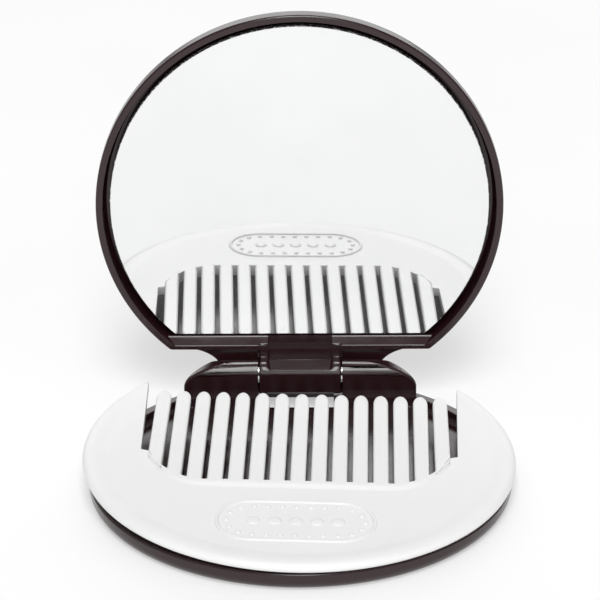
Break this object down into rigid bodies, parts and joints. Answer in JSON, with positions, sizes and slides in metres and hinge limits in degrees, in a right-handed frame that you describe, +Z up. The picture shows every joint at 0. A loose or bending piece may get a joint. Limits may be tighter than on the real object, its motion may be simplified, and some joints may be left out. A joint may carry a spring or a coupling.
{
  "type": "pocket mirror",
  "caption": "Round brown pocket mirror with a lid hinged upright over a shallow base, a mirror with one straight edge and a loose white comb lying on the base.",
  "frame": {"origin": "middle of the base's flat underside", "axes": "+Z up, square to the base; +Y from the middle towards the hinge; +X to the right, along the hinge"},
  "size_m": [0.0718, 0.0718, 0.0717],
  "materials": {
    "brown_plastic": "glossy moulded dark brown plastic with fine scuffs",
    "mirror_glass": "back-silvered flat glass",
    "mirror_pad": "thin adhesive foam pad",
    "steel_pin": "bright drawn steel wire",
    "white_plastic": "satin white moulded plastic"
  },
  "bodies": {
    "base": {"base_shell": "brown_plastic"},
    "lid": {"lid_shell": "brown_plastic", "mirror_glass": "mirror_glass", "mirror_tape": "mirror_pad", "hinge_pin": "steel_pin"},
    "comb": {"comb": "white_plastic"}
  },
  "joints": [
    {"name": "lid_hinge", "type": "hinge", "parent": "base", "child": "lid", "pos_m": [0, 0.03005, 0.00662], "axis": [1, 0, 0], "range_deg": [-8, 90]},
    {"name": "comb_slide", "type": "slide", "parent": "base", "child": "comb", "axis": [0, -1, 0], "range_m": [0, 0.072]}
  ]
}
